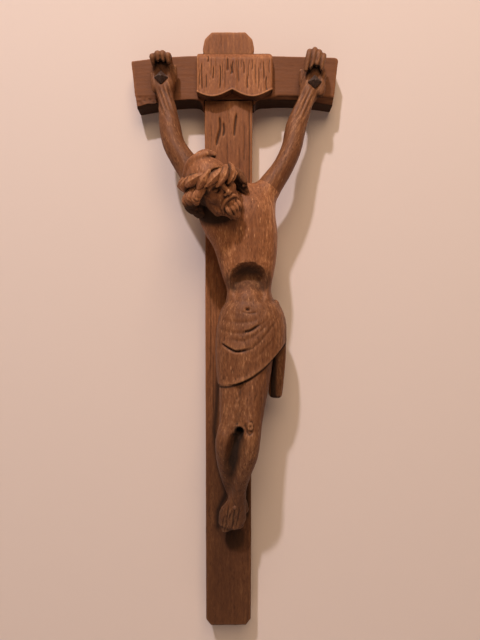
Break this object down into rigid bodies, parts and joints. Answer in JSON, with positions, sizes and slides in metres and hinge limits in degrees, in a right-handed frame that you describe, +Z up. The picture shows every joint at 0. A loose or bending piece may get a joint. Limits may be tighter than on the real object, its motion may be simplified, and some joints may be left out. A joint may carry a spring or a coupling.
{
  "type": "wooden wall crucifix",
  "caption": "Wall cross of stained oak with a carved figure nailed to it, a bare scalloped title board and a keyhole hanger let into the back.",
  "frame": {"origin": "where the wall screw bears at the top of the hanger's keyhole slot, on the back plane of the upright", "axes": "+X to the viewer's right along the crossbeam, +Y into the wall, +Z up along the upright"},
  "size_m": [0.1466, 0.0741, 0.42],
  "materials": {
    "oak": "brown stain with a thin satin wax, gouge marks and long dark pores",
    "carved_oak": "brown stain with a satin wax, darker in the hollows and rubbed lighter on the high places",
    "beech": "plain planed dowel",
    "forged_iron": "dark waxed iron, brighter on the hammered edges",
    "zinc_steel": "bright zinc plate"
  },
  "bodies": {
    "root": {"upright": "oak", "crossbeam": "oak", "title_board": "oak", "corpus": "carved_oak", "right_arm": "carved_oak", "shoulder_dowel_right": "beech", "hand_nail_right": "forged_iron", "left_arm": "carved_oak", "shoulder_dowel_left": "beech", "hand_nail_left": "forged_iron", "foot_nail": "forged_iron", "corpus_screw_upper": "zinc_steel", "corpus_screw_lower": "zinc_steel", "crossing_dowel_left": "beech", "crossing_dowel_right": "beech", "hanger_plate": "zinc_steel", "hanger_screw_upper": "zinc_steel", "hanger_screw_lower": "zinc_steel"}
  },
  "joints": []
}
